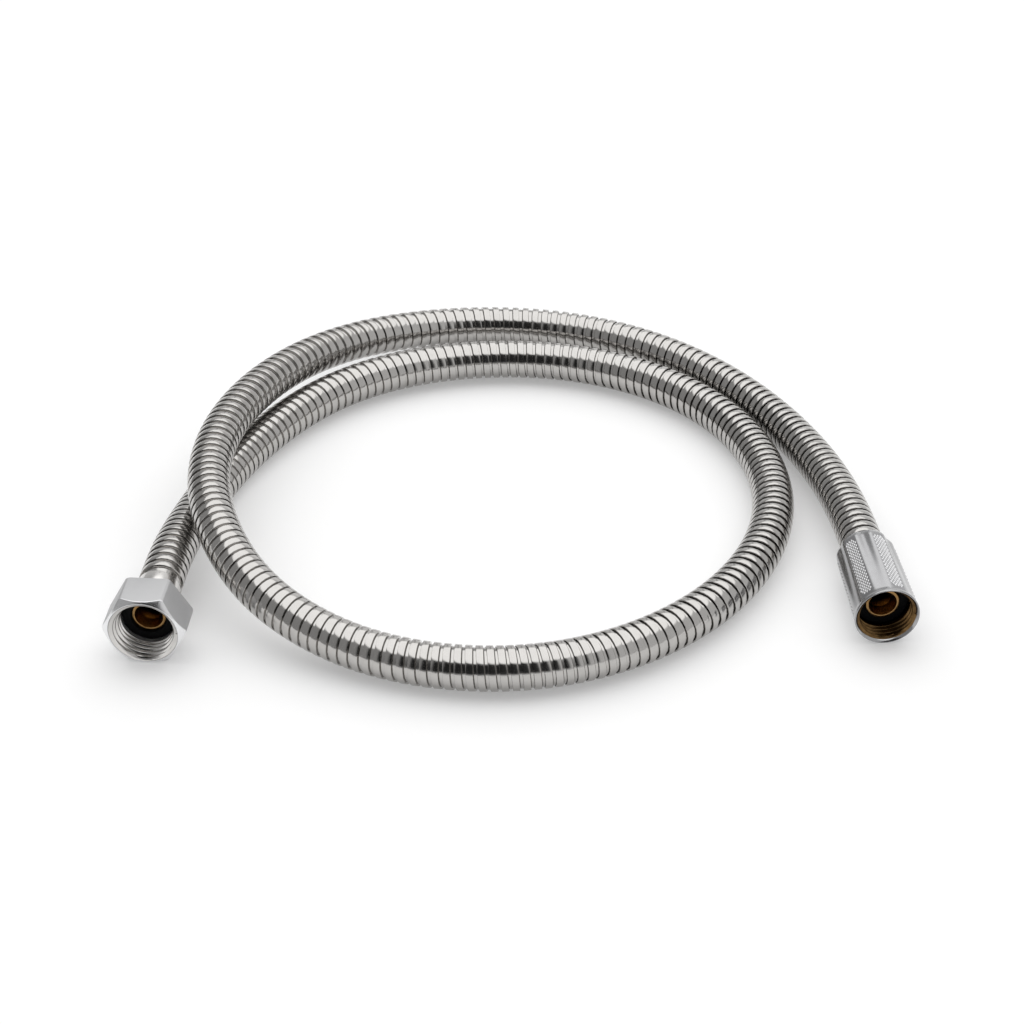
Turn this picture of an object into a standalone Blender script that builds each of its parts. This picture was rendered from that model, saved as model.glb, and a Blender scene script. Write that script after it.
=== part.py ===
"""Shower hose: a stainless strip casing round a rubber liner, with a swivel nut at each end.

Units are metres and +Z is up. The hose lies on the floor, z = 0, in one loop that passes over
itself. At each end a brass tail is pressed into the liner under a ferrule, and a threaded nut
turns freely behind the tail's flange. Everything at an end is set out along the nut's axis, in
stations counted from the nut's open mouth towards the hose.
"""

import math

import bmesh
import bpy
import numpy as np
from mathutils import Euler, Vector

# Clearance that stands for each fit, and the looser one where the hose leaves the sleeve nut
GAP = 0.0003
HOSE_EXIT_CLEARANCE = 0.0005

# Hose: the liner lies loosely inside the casing, with this much room all round
HOSE_OD = 0.0160
CASING_WALL = 0.0015
LINER_CLEARANCE = 0.0008
LINER_WALL = 0.0017
ROUTE_STEP_DIAMETERS = 2.0
CASING_SIDES_SETTING = 4
LINER_SIDES_SETTING = 3

# Thread and washer seat inside both nuts, for a G 1/2 thread. The washer and the tail's flange
# pass through the thread with this much room, and the seat behind it is relieved by this much
THREAD_BORE = 0.01863
THREAD_DEPTH = 0.0086
WASHER_TO_THREAD = 0.0001
FLANGE_TO_THREAD = 0.0004
SEAT_RELIEF = 0.0004
END_WALL = 0.0018
WASHER_THICKNESS = 0.0022

# Brass tail: tip, flange, neck through the nut, shank through the ferrule, barbed spigot
TIP_OD = 0.0119
FUNNEL_MOUTH = 0.0107
FUNNEL_THROAT = 0.0080
FUNNEL_DEPTH = 0.0040
THROAT_TAPER = 0.0022
SPIGOT_WALL = 0.0006
FLANGE_THICKNESS = 0.0010
NECK_OD = 0.0123
SHANK_STEP = 0.0007
BARB_COUNT = 4
BARB_DEPTH = 0.0003
BARB_TAPER_SHARE = 0.9
SPIGOT_SHORTFALL = 0.0010
HEX_TIP_BEHIND_WASHER = 0.0008
SLEEVE_TIP_BEFORE_WASHER = 0.0010

# Ferrule
FERRULE_LENGTH = 0.0115
FERRULE_END_WALL = 0.0012
FERRULE_STEP = 0.0001

# Hexagon nut: 26 mm across flats, from the thread outwards
HEX_LEAD_IN = 0.002785
HEX_MOUTH_WALL = 0.0009
HEX_FRONT_LAND = 0.0003
HEX_CHAMFER_SLOPE = 0.9
HEX_BACK_BREAK = 0.0005
HEX_CORNER_FACET = 0.0010

# Sleeve nut: 23 mm across its mouth, from the thread outwards
SLEEVE_LENGTH = 0.0405
SLEEVE_LEAD_IN = 0.001385
SLEEVE_MOUTH_WALL = 0.0008
SLEEVE_TAPER = 0.0007
SLEEVE_SHOULDER = 0.0035
SLEEVE_RIM = 0.0016
FLUTE_COUNT = 6
FLUTE_TURN = math.radians(18)
FLUTE_HALF_ANGLE = math.radians(17)
FLUTE_DEPTH = 0.0008
FLUTE_FADE = 0.0014

# Where the two ends lie. The nuts rest on the floor, so their heights are their own half widths
HEX_MOUTH_XY = (-0.1277, -0.1075)
HEX_TURN = math.radians(-4.0)
SLEEVE_MOUTH_XY = (0.1310, -0.0963)
SLEEVE_TURN = math.radians(3.5)
HEX_STRAIGHT = 0.0095
SLEEVE_STRAIGHT = 0.0040

# Centre line of the hose between its two straight ends, from the hexagon nut to the sleeve nut.
# It leaves the nut, goes once round on the floor, rises over itself and comes down again.
ROUTE = (
    (-0.1200, -0.0285, 0.0092),
    (-0.1104, 0.0057, 0.0080),
    (-0.0948, 0.0376, 0.0080),
    (-0.0726, 0.0653, 0.0080),
    (-0.0425, 0.0840, 0.0080),
    (-0.0079, 0.0915, 0.0080),
    (0.0273, 0.0876, 0.0080),
    (0.0591, 0.0721, 0.0080),
    (0.0834, 0.0463, 0.0080),
    (0.0970, 0.0136, 0.0080),
    (0.0991, -0.0218, 0.0080),
    (0.0894, -0.0558, 0.0080),
    (0.0697, -0.0853, 0.0080),
    (0.0420, -0.1074, 0.0080),
    (0.0087, -0.1194, 0.0080),
    (-0.0267, -0.1189, 0.0080),
    (-0.0603, -0.1076, 0.0099),
    (-0.0887, -0.0875, 0.0163),
    (-0.1067, -0.0577, 0.0227),
    (-0.1140, -0.0232, 0.0255),
    (-0.1111, 0.0122, 0.0251),
    (-0.1005, 0.0460, 0.0224),
    (-0.0835, 0.0769, 0.0181),
    (-0.0596, 0.1025, 0.0129),
    (-0.0282, 0.1184, 0.0090),
    (0.0071, 0.1203, 0.0080),
    (0.0411, 0.1103, 0.0080),
    (0.0706, 0.0907, 0.0080),
    (0.0940, 0.0640, 0.0080),
    (0.1105, 0.0325, 0.0089),
    (0.1212, -0.0014, 0.0105),
    (0.1270, -0.0364, 0.0114),
)

# Stations along an end's axis, the same at both ends
WASHER_FACE = THREAD_DEPTH + GAP
WASHER_BACK = WASHER_FACE + WASHER_THICKNESS
FLANGE_FACE = WASHER_BACK + GAP
FLANGE_BACK = FLANGE_FACE + FLANGE_THICKNESS
WALL_FACE = FLANGE_BACK + GAP
WALL_BACK = WALL_FACE + END_WALL
FERRULE_FACE = WALL_BACK + GAP
FERRULE_BACK = FERRULE_FACE + FERRULE_LENGTH
LINER_START = FERRULE_FACE + FERRULE_END_WALL + GAP
CASING_START = FERRULE_BACK + GAP
SPIGOT_END = FERRULE_BACK - SPIGOT_SHORTFALL

NECK_HOLE = NECK_OD + 2 * GAP

# Diameters that follow from the thread's
SEAT_BORE = THREAD_BORE + 2 * SEAT_RELIEF
WASHER_OD = THREAD_BORE - 2 * WASHER_TO_THREAD
FLANGE_OD = THREAD_BORE - 2 * FLANGE_TO_THREAD
HEX_OPENING = THREAD_BORE + 2 * HEX_LEAD_IN
HEX_ACROSS_FLATS = HEX_OPENING + 2 * HEX_MOUTH_WALL
SLEEVE_OPENING = THREAD_BORE + 2 * SLEEVE_LEAD_IN
SLEEVE_MOUTH_OD = SLEEVE_OPENING + 2 * SLEEVE_MOUTH_WALL
SLEEVE_BACK_OD = SLEEVE_MOUTH_OD - 2 * SLEEVE_TAPER

# Diameters that follow from the hose's
LINER_OD = HOSE_OD - 2 * (CASING_WALL + LINER_CLEARANCE)
LINER_BORE = LINER_OD - 2 * LINER_WALL
SPIGOT_OD = LINER_BORE - 2 * GAP
TAIL_BORE = SPIGOT_OD - 2 * (BARB_DEPTH + SPIGOT_WALL)
SHANK_OD = LINER_BORE + 2 * SHANK_STEP

# How finely curved shapes are divided, and how far a cutting bar runs past what it cuts
NUT_SEGMENTS = 48
TURNED_SEGMENTS = 32
TAIL_SEGMENTS = 24
STEPS_ACROSS_FLUTE = 6
STEPS_ACROSS_LAND = 4
STEPS_ROUND_SHOULDER = 4
STEPS_BETWEEN_ROUTE_POINTS = 24
CREASE_ANGLE = math.radians(30)
BAR_OVERRUN = 0.0020


def clear_scene():
    for obj in list(bpy.data.objects):
        bpy.data.objects.remove(obj, do_unlink=True)


def principled(name, colour, metallic, roughness):
    material = bpy.data.materials.new(name)
    material.use_nodes = True
    shader = material.node_tree.nodes["Principled BSDF"]
    shader.inputs["Base Color"].default_value = (*colour, 1.0)
    shader.inputs["Metallic"].default_value = metallic
    shader.inputs["Roughness"].default_value = roughness
    return material


def linked(name, mesh, material, parent=None):
    obj = bpy.data.objects.new(name, mesh)
    bpy.context.scene.collection.objects.link(obj)
    obj.data.materials.append(material)
    obj.parent = parent
    return obj


def even_angles(segments):
    return [2 * math.pi * step / segments for step in range(segments)]


def turned_mesh(name, profile, angles, skin=(), skin_radius=None):
    """A closed line of (radius, height) pairs carried round local Z at the given angles.

    The skin's points follow the profile's and close the line. skin_radius(angle, radius, height)
    gives their real radius where the skin isn't round.
    """
    bm = bmesh.new()
    rings = []
    for angle in angles:
        line = list(profile)
        line += [(skin_radius(angle, *point), point[1]) for point in skin]
        across = Vector((math.cos(angle), math.sin(angle), 0.0))
        up = Vector((0.0, 0.0, 1.0))
        rings.append([bm.verts.new(radius * across + height * up) for radius, height in line])
    for ring, next_ring in zip(rings, rings[1:] + rings[:1]):
        for index in range(len(ring)):
            after = (index + 1) % len(ring)
            bm.faces.new((ring[index], next_ring[index], next_ring[after], ring[after]))
    bmesh.ops.recalc_face_normals(bm, faces=bm.faces)
    mesh = bpy.data.meshes.new(name)
    bm.to_mesh(mesh)
    bm.free()
    mesh.shade_smooth()
    mesh.set_sharp_from_angle(angle=CREASE_ANGLE)
    return mesh


def turned(name, profile, material, parent, station=0.0, segments=TURNED_SEGMENTS):
    obj = linked(name, turned_mesh(name, profile, even_angles(segments)), material, parent)
    obj.location = (0.0, 0.0, station)
    return obj


def quarter_round(start, end, steps):
    """Points from start to end on a quarter ellipse that leaves start along the height."""
    points = []
    for step in range(1, steps + 1):
        angle = 0.5 * math.pi * step / steps
        radius = end[0] + (start[0] - end[0]) * math.cos(angle)
        height = start[1] + (end[1] - start[1]) * math.sin(angle)
        points.append((radius, height))
    return points


def end_frame(name, mouth_xy, half_height, turn):
    """An empty at the middle of a nut's mouth, with local +Z along the axis into the hose."""
    frame = bpy.data.objects.new(name, None)
    frame.location = (*mouth_xy, half_height)
    frame.rotation_euler = (-math.pi / 2, 0.0, turn)
    bpy.context.scene.collection.objects.link(frame)
    return frame


def on_axis(frame, station):
    into_hose = Euler(frame.rotation_euler).to_matrix() @ Vector((0.0, 0.0, 1.0))
    return Vector(frame.location) + station * into_hose


def nut_inside(opening):
    """The nut's inner line from its end wall out to its mouth: seat, bore and lead-in."""
    bore = THREAD_BORE / 2
    lead_in = opening / 2 - bore
    return [
        (NECK_HOLE / 2, WALL_BACK),
        (NECK_HOLE / 2, WALL_FACE),
        (SEAT_BORE / 2, WALL_FACE),
        (SEAT_BORE / 2, THREAD_DEPTH),
        (bore, THREAD_DEPTH),
        (bore, lead_in),
        (opening / 2, 0.0),
    ]


def hexagon_bar(length):
    """A hexagonal bar along local Z with a flat facing down and its corners broken."""
    across_corners = HEX_ACROSS_FLATS / math.cos(math.radians(30))
    bm = bmesh.new()
    bmesh.ops.create_cone(
        bm,
        cap_ends=True,
        segments=6,
        radius1=across_corners / 2,
        radius2=across_corners / 2,
        depth=length,
    )
    # create_cone puts a corner on local Y, and the nut needs a flat there
    bmesh.ops.rotate(bm, verts=bm.verts, matrix=Euler((0.0, 0.0, math.radians(30))).to_matrix())
    bmesh.ops.translate(bm, verts=bm.verts, vec=(0.0, 0.0, length / 2))
    long_edges = [
        edge for edge in bm.edges if abs(edge.verts[0].co.z - edge.verts[1].co.z) > length / 2
    ]
    facet_setback = HEX_CORNER_FACET / (2 * math.sin(math.radians(60)))
    bmesh.ops.bevel(
        bm,
        geom=long_edges,
        offset=facet_setback,
        offset_type="OFFSET",
        segments=1,
        affect="EDGES",
    )
    mesh = bpy.data.meshes.new("hexagon_bar")
    bm.to_mesh(mesh)
    bm.free()
    return mesh


def make_hex_nut(frame, material):
    land = HEX_OPENING / 2 + HEX_FRONT_LAND
    corner = HEX_ACROSS_FLATS / 2 / math.cos(math.radians(30))
    clear_of_corner = corner + 2 * GAP
    profile = nut_inside(HEX_OPENING) + [
        (land, 0.0),
        (clear_of_corner, (clear_of_corner - land) * HEX_CHAMFER_SLOPE),
        (clear_of_corner, WALL_BACK - HEX_BACK_BREAK - 2 * GAP),
        (corner - HEX_BACK_BREAK, WALL_BACK),
    ]
    nut = turned("hex_nut", profile, material, frame, segments=NUT_SEGMENTS)
    bar = linked("hexagon_bar", hexagon_bar(WALL_BACK + 2 * BAR_OVERRUN), material, frame)
    bar.location = (0.0, 0.0, -BAR_OVERRUN)
    bar.hide_render = True
    bar.display_type = "WIRE"
    hexagon = nut.modifiers.new("hexagon", "BOOLEAN")
    hexagon.operation = "INTERSECT"
    hexagon.object = bar
    return nut


def flute_angles():
    """Angles whose steps fall on the flutes' edges, so that each edge is crisp."""
    pitch = 2 * math.pi / FLUTE_COUNT
    angles = []
    for flute in range(FLUTE_COUNT):
        edge = FLUTE_TURN + flute * pitch - FLUTE_HALF_ANGLE
        for step in range(STEPS_ACROSS_FLUTE):
            angles.append(edge + 2 * FLUTE_HALF_ANGLE * step / STEPS_ACROSS_FLUTE)
        edge += 2 * FLUTE_HALF_ANGLE
        land = pitch - 2 * FLUTE_HALF_ANGLE
        for step in range(STEPS_ACROSS_LAND):
            angles.append(edge + land * step / STEPS_ACROSS_LAND)
    return angles


def fluted_radius(angle, radius, height):
    """The sleeve's outer radius where a shallow hollow flute runs along it."""
    if height < SLEEVE_RIM:
        return radius
    pitch = 2 * math.pi / FLUTE_COUNT
    off_centre = (angle - FLUTE_TURN + pitch / 2) % pitch - pitch / 2
    if abs(off_centre) >= FLUTE_HALF_ANGLE:
        return radius
    half_chord = radius * math.sin(FLUTE_HALF_ANGLE)
    chord_depth = radius * (1 - math.cos(FLUTE_HALF_ANGLE))
    fade = min(1.0, (height - SLEEVE_RIM) / FLUTE_FADE)
    hollow = max(FLUTE_DEPTH - chord_depth, GAP / 10)
    hollow_radius = (half_chord**2 + hollow**2) / (2 * hollow)
    centre = radius - chord_depth - hollow + hollow_radius
    across = centre * math.sin(off_centre)
    fluted = centre * math.cos(off_centre) - math.sqrt(hollow_radius**2 - across**2)
    return radius + (fluted - radius) * fade


def make_sleeve_nut(frame, material):
    hose_hole = HOSE_OD / 2 + HOSE_EXIT_CLEARANCE
    mouth = SLEEVE_MOUTH_OD / 2
    back = SLEEVE_BACK_OD / 2
    shoulder_start = SLEEVE_LENGTH - SLEEVE_SHOULDER
    back_land = hose_hole + GAP

    def body(height):
        share = (height - SLEEVE_RIM) / (shoulder_start - SLEEVE_RIM)
        return mouth + (back - mouth) * share

    inside = [(hose_hole, SLEEVE_LENGTH), (hose_hole, WALL_BACK), *nut_inside(SLEEVE_OPENING)]
    skin = [
        (mouth - GAP, 0.0),
        (mouth, GAP),
        (mouth, SLEEVE_RIM),
        (body(SLEEVE_RIM + FLUTE_FADE), SLEEVE_RIM + FLUTE_FADE),
        (body(0.5 * shoulder_start), 0.5 * shoulder_start),
        (back, shoulder_start),
        *quarter_round((back, shoulder_start), (back_land, SLEEVE_LENGTH), STEPS_ROUND_SHOULDER),
    ]
    mesh = turned_mesh("sleeve_nut", inside, flute_angles(), skin, fluted_radius)
    return linked("sleeve_nut", mesh, material, frame)


def make_tail(name, frame, material, tip_face):
    """The brass tail, turned in one piece and bored through, with barbs on its spigot."""
    shank_back = LINER_START - GAP
    funnel_end = tip_face + FUNNEL_DEPTH
    barb_length = (SPIGOT_END - shank_back) / BARB_COUNT
    barbs = []
    for barb in range(BARB_COUNT):
        start = shank_back + barb * barb_length
        barbs.append((SPIGOT_OD / 2, start))
        barbs.append((SPIGOT_OD / 2 - BARB_DEPTH, start + BARB_TAPER_SHARE * barb_length))
    profile = [
        (FUNNEL_MOUTH / 2, tip_face),
        (TIP_OD / 2, tip_face),
        (TIP_OD / 2, FLANGE_FACE),
        (FLANGE_OD / 2, FLANGE_FACE),
        (FLANGE_OD / 2, FLANGE_BACK),
        (NECK_OD / 2, FLANGE_BACK),
        (NECK_OD / 2, WALL_BACK),
        (SHANK_OD / 2, WALL_BACK),
        (SHANK_OD / 2, shank_back),
        *barbs,
        (SPIGOT_OD / 2 - BARB_DEPTH, SPIGOT_END),
        (TAIL_BORE / 2, SPIGOT_END),
        (TAIL_BORE / 2, funnel_end + THROAT_TAPER),
        (FUNNEL_THROAT / 2, funnel_end),
    ]
    return turned(name, profile, material, frame, segments=TAIL_SEGMENTS)


def make_ferrule(name, frame, material):
    """A cup with a hole in its end wall, pressed over the liner's end and the spigot."""
    outer = HOSE_OD / 2 - FERRULE_STEP
    inner = LINER_OD / 2 + GAP
    hole = SHANK_OD / 2 + GAP
    profile = [
        (hole, 0.0),
        (outer - GAP, 0.0),
        (outer, GAP),
        (outer, FERRULE_LENGTH),
        (inner, FERRULE_LENGTH),
        (inner, FERRULE_END_WALL),
        (hole, FERRULE_END_WALL),
    ]
    return turned(name, profile, material, frame, FERRULE_FACE)


def make_washer(name, frame, material):
    outer = WASHER_OD / 2
    inner = TIP_OD / 2 + GAP
    profile = [
        (inner, 0.0),
        (outer, 0.0),
        (outer, WASHER_THICKNESS),
        (inner, WASHER_THICKNESS),
    ]
    return turned(name, profile, material, frame, WASHER_FACE)


def smooth_curve(points, start_direction, end_direction):
    """A cubic spline through the points by chord length, clamped to a direction at each end."""
    knots = np.array([tuple(point) for point in points])
    chords = np.linalg.norm(np.diff(knots, axis=0), axis=1)
    count = len(knots)
    matrix = np.zeros((count, count))
    right = np.zeros((count, 3))
    matrix[0, 0] = 1.0
    matrix[-1, -1] = 1.0
    right[0] = tuple(start_direction)
    right[-1] = tuple(end_direction)
    for index in range(1, count - 1):
        before, after = chords[index - 1], chords[index]
        matrix[index, index - 1] = after
        matrix[index, index] = 2 * (before + after)
        matrix[index, index + 1] = before
        slope_before = (knots[index] - knots[index - 1]) / before
        slope_after = (knots[index + 1] - knots[index]) / after
        right[index] = 3 * (after * slope_before + before * slope_after)
    slopes = np.linalg.solve(matrix, right)
    samples = [knots[0]]
    steps = STEPS_BETWEEN_ROUTE_POINTS
    for index, chord in enumerate(chords):
        for step in range(1, steps + 1):
            t = step / steps
            samples.append(
                (1 + 2 * t) * (1 - t) ** 2 * knots[index]
                + t * (1 - t) ** 2 * chord * slopes[index]
                + t**2 * (3 - 2 * t) * knots[index + 1]
                + t**2 * (t - 1) * chord * slopes[index + 1]
            )
    return np.array(samples)


def evenly_spaced(samples, spacing):
    lengths = np.r_[0.0, np.cumsum(np.linalg.norm(np.diff(samples, axis=0), axis=1))]
    count = max(2, round(lengths[-1] / spacing))
    marks = np.linspace(0.0, lengths[-1], count + 1)
    return np.column_stack([np.interp(marks, lengths, samples[:, axis]) for axis in range(3)])


def make_tube(name, points, outer_diameter, wall, sides_setting, material):
    """A hollow tube along the points, made from a bevelled curve with a wall put inside it."""
    curve = bpy.data.curves.new(name, "CURVE")
    curve.dimensions = "3D"
    curve.bevel_depth = outer_diameter / 2
    curve.bevel_resolution = sides_setting
    spline = curve.splines.new("POLY")
    spline.points.add(len(points) - 1)
    for point, place in zip(spline.points, points):
        point.co = (*place, 1.0)
    tube = linked(name, curve, material)
    hollow = tube.modifiers.new("wall", "SOLIDIFY")
    hollow.thickness = wall
    hollow.offset = -1.0
    hollow.use_even_offset = True
    return tube


def main():
    clear_scene()
    steel = principled("stainless_strip", (0.60, 0.58, 0.55), 1.0, 0.22)
    chrome = principled("satin_chrome", (0.72, 0.72, 0.72), 1.0, 0.30)
    bright = principled("bright_chrome", (0.66, 0.66, 0.67), 1.0, 0.16)
    brass = principled("brass", (0.62, 0.41, 0.16), 1.0, 0.30)
    rubber = principled("black_rubber", (0.012, 0.012, 0.013), 0.0, 0.60)
    liner_rubber = principled("liner_rubber", (0.05, 0.05, 0.05), 0.0, 0.55)

    hex_end = end_frame("hex_end", HEX_MOUTH_XY, HEX_ACROSS_FLATS / 2, HEX_TURN)
    sleeve_end = end_frame("sleeve_end", SLEEVE_MOUTH_XY, SLEEVE_MOUTH_OD / 2, SLEEVE_TURN)

    make_hex_nut(hex_end, chrome)
    make_sleeve_nut(sleeve_end, bright)
    make_tail("tail_hex", hex_end, brass, WASHER_FACE + HEX_TIP_BEHIND_WASHER)
    make_tail("tail_sleeve", sleeve_end, brass, WASHER_FACE - SLEEVE_TIP_BEFORE_WASHER)
    make_ferrule("ferrule_hex", hex_end, steel)
    make_ferrule("ferrule_sleeve", sleeve_end, steel)
    make_washer("washer_hex", hex_end, rubber)
    make_washer("washer_sleeve", sleeve_end, rubber)

    hex_exit = on_axis(hex_end, CASING_START + HEX_STRAIGHT)
    sleeve_exit = on_axis(sleeve_end, max(SLEEVE_LENGTH, CASING_START) + SLEEVE_STRAIGHT)
    leaving = on_axis(hex_end, 1.0) - on_axis(hex_end, 0.0)
    arriving = on_axis(sleeve_end, 0.0) - on_axis(sleeve_end, 1.0)
    samples = smooth_curve([hex_exit, *ROUTE, sleeve_exit], leaving, arriving)
    middle = evenly_spaced(samples, ROUTE_STEP_DIAMETERS * HOSE_OD)

    def with_ends(station):
        return [on_axis(hex_end, station), *middle, on_axis(sleeve_end, station)]

    casing_points = with_ends(CASING_START)
    liner_points = with_ends(LINER_START)
    make_tube("casing", casing_points, HOSE_OD, CASING_WALL, CASING_SIDES_SETTING, steel)
    make_tube("liner", liner_points, LINER_OD, LINER_WALL, LINER_SIDES_SETTING, liner_rubber)


main()
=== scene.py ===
import math

import bmesh
import bpy
import numpy as np
from mathutils import Euler, Matrix, Vector


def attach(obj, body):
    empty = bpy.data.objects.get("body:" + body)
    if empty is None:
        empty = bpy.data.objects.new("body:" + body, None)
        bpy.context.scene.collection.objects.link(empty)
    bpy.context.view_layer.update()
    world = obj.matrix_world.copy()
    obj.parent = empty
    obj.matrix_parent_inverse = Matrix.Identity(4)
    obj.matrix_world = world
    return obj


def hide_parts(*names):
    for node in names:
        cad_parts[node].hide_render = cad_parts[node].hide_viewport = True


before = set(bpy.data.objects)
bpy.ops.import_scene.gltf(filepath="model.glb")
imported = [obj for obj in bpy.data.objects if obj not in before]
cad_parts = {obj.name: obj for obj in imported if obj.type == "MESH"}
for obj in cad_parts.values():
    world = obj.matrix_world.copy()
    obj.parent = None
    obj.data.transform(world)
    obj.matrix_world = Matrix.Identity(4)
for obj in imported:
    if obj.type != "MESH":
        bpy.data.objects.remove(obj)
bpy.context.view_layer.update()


# CASING. One strip of polished stainless steel, rolled to a profile and wound into a tube. Each
# turn has a raised crest whose lip hooks over the flat of the next turn, so the tube can bend. It
# shields the rubber liner and takes the pull.

# Where the ends lie. Each end's own frame has its origin in the nut's mouth and +Z into the hose
HEX_MOUTH, HEX_TURN = (-0.1277, -0.1075, 0.0130), math.radians(-4.0)
SLEEVE_MOUTH, SLEEVE_TURN = (0.1310, -0.0963, 0.0115), math.radians(3.5)
CASING_START = 0.0266
HEX_STRAIGHT = 0.0095
SLEEVE_STRAIGHT = 0.0040
SLEEVE_LENGTH = 0.0405

ROUTE = (
    (-0.1200, -0.0285, 0.0092),
    (-0.1104, 0.0057, 0.0080),
    (-0.0948, 0.0376, 0.0080),
    (-0.0726, 0.0653, 0.0080),
    (-0.0425, 0.0840, 0.0080),
    (-0.0079, 0.0915, 0.0080),
    (0.0273, 0.0876, 0.0080),
    (0.0591, 0.0721, 0.0080),
    (0.0834, 0.0463, 0.0080),
    (0.0970, 0.0136, 0.0080),
    (0.0991, -0.0218, 0.0080),
    (0.0894, -0.0558, 0.0080),
    (0.0697, -0.0853, 0.0080),
    (0.0420, -0.1074, 0.0080),
    (0.0087, -0.1194, 0.0080),
    (-0.0267, -0.1189, 0.0080),
    (-0.0603, -0.1076, 0.0099),
    (-0.0887, -0.0875, 0.0163),
    (-0.1067, -0.0577, 0.0227),
    (-0.1140, -0.0232, 0.0255),
    (-0.1111, 0.0122, 0.0251),
    (-0.1005, 0.0460, 0.0224),
    (-0.0835, 0.0769, 0.0181),
    (-0.0596, 0.1025, 0.0129),
    (-0.0282, 0.1184, 0.0090),
    (0.0071, 0.1203, 0.0080),
    (0.0411, 0.1103, 0.0080),
    (0.0706, 0.0907, 0.0080),
    (0.0940, 0.0640, 0.0080),
    (0.1105, 0.0325, 0.0089),
    (0.1212, -0.0014, 0.0105),
    (0.1270, -0.0364, 0.0114),
)

# The strip's winding, in millimetres: where along the casing, and the distance from turn to turn.
# The turns slide in each other, so they lie closer in some stretches than in others
PITCH_ALONG = (
    (0, 4.00),
    (90, 3.80),
    (150, 4.15),
    (215, 3.92),
    (325, 4.08),
    (395, 3.72),
    (440, 3.95),
    (490, 3.97),
    (550, 3.46),
    (605, 3.97),
    (660, 3.38),
    (710, 3.65),
    (760, 4.30),
    (830, 4.78),
    (870, 4.80),
    (915, 4.45),
    (975, 4.22),
    (1035, 4.15),
    (1085, 3.97),
    (1125, 3.65),
    (1200, 3.65),
)
ROUTE_POINTS_PER_TURN = 4
SAMPLES_BETWEEN_ROUTE_POINTS = 24
CASING_OD = 0.0160
STRIP_CREST_WIDTH = 0.0026
STRIP_STEP = 0.0008
STRIP_REACH = 0.0042
STRIP_THICKNESS = 0.0003
STRIP_SHOULDER = 0.00034
STRIP_SHOULDER_DROP = 0.00018
STRIP_EDGE = 0.00003
STRIP_HOOK_GAP = 0.00030
STRIP_FOLD_WIDTH, STRIP_FOLD_DEPTH = 0.00028, 0.00018
STRIP_FACETS = 24
STRIP_CREASE = 22
STRIP_TONES = (0.44, 0.427, 0.412, 1.0), (0.50, 0.488, 0.473, 1.0)
# Painted shade: the grooves between the crests are mixed towards this dark tone.
GROOVE_SHADE_TONE = (0.14, 0.13, 0.12, 1.0)
GROOVE_SHADE_SHARE = 0.5


def end_frame(mouth, turn):
    return Matrix.Translation(mouth) @ Euler((-math.pi / 2, 0.0, turn)).to_matrix().to_4x4()


hex_end = end_frame(HEX_MOUTH, HEX_TURN)
sleeve_end = end_frame(SLEEVE_MOUTH, SLEEVE_TURN)


def on_axis(end, station):
    return end @ Vector((0.0, 0.0, station))


def smooth_curve(points, start_direction, end_direction):
    """A cubic spline through the points by chord length, clamped to a direction at each end."""
    knots = np.array([tuple(point) for point in points])
    chords = np.linalg.norm(np.diff(knots, axis=0), axis=1)
    count = len(knots)
    matrix = np.zeros((count, count))
    right = np.zeros((count, 3))
    matrix[0, 0] = 1.0
    matrix[-1, -1] = 1.0
    right[0] = tuple(start_direction)
    right[-1] = tuple(end_direction)
    for index in range(1, count - 1):
        before, after = chords[index - 1], chords[index]
        matrix[index, index - 1] = after
        matrix[index, index] = 2 * (before + after)
        matrix[index, index + 1] = before
        slope_before = (knots[index] - knots[index - 1]) / before
        slope_after = (knots[index + 1] - knots[index]) / after
        right[index] = 3 * (after * slope_before + before * slope_after)
    slopes = np.linalg.solve(matrix, right)
    samples = [knots[0]]
    for index, chord in enumerate(chords):
        for step in range(1, SAMPLES_BETWEEN_ROUTE_POINTS + 1):
            t = step / SAMPLES_BETWEEN_ROUTE_POINTS
            samples.append(
                (1 + 2 * t) * (1 - t) ** 2 * knots[index]
                + t * (1 - t) ** 2 * chord * slopes[index]
                + t**2 * (3 - 2 * t) * knots[index + 1]
                + t**2 * (t - 1) * chord * slopes[index + 1]
            )
    return np.array(samples)


def lengths_along(points):
    return np.r_[0.0, np.cumsum(np.linalg.norm(np.diff(points, axis=0), axis=1))]


def places_at(points, marks):
    """The points that lie at these lengths along a line."""
    lengths = lengths_along(points)
    return np.column_stack([np.interp(marks, lengths, points[:, axis]) for axis in range(3)])


hose_middle = smooth_curve(
    [
        on_axis(hex_end, CASING_START + HEX_STRAIGHT),
        *ROUTE,
        on_axis(sleeve_end, SLEEVE_LENGTH + SLEEVE_STRAIGHT),
    ],
    on_axis(hex_end, 1.0) - on_axis(hex_end, 0.0),
    on_axis(sleeve_end, 0.0) - on_axis(sleeve_end, 1.0),
)


def hose_line(station):
    """The hose's centre line between this station of both ends."""
    return np.vstack([on_axis(hex_end, station), hose_middle, on_axis(sleeve_end, station)])


class Value:
    """The output of one node. Python's operators on it add the Math or Vector Math nodes needed."""

    def __init__(self, tree, socket):
        self.tree = tree
        self.socket = socket

    def wide(self):
        return self.socket.type == "VECTOR"

    def __add__(self, other):
        return calc("ADD", self, other)

    def __sub__(self, other):
        return calc("SUBTRACT", self, other)

    def __rsub__(self, other):
        return calc("SUBTRACT", other, self)

    def __mul__(self, other):
        if self.wide() and not (isinstance(other, Value) and other.wide()):
            return calc("SCALE", self, scale=other)
        return calc("MULTIPLY", self, other)

    def __truediv__(self, other):
        return calc("DIVIDE", self, other)

    def __rtruediv__(self, other):
        return calc("DIVIDE", other, self)

    def __pow__(self, other):
        return calc("POWER", self, other)

    __radd__ = __add__
    __rmul__ = __mul__


def feed(tree, socket, value):
    if isinstance(value, Value):
        tree.links.new(value.socket, socket)
    else:
        socket.default_value = value


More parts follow.
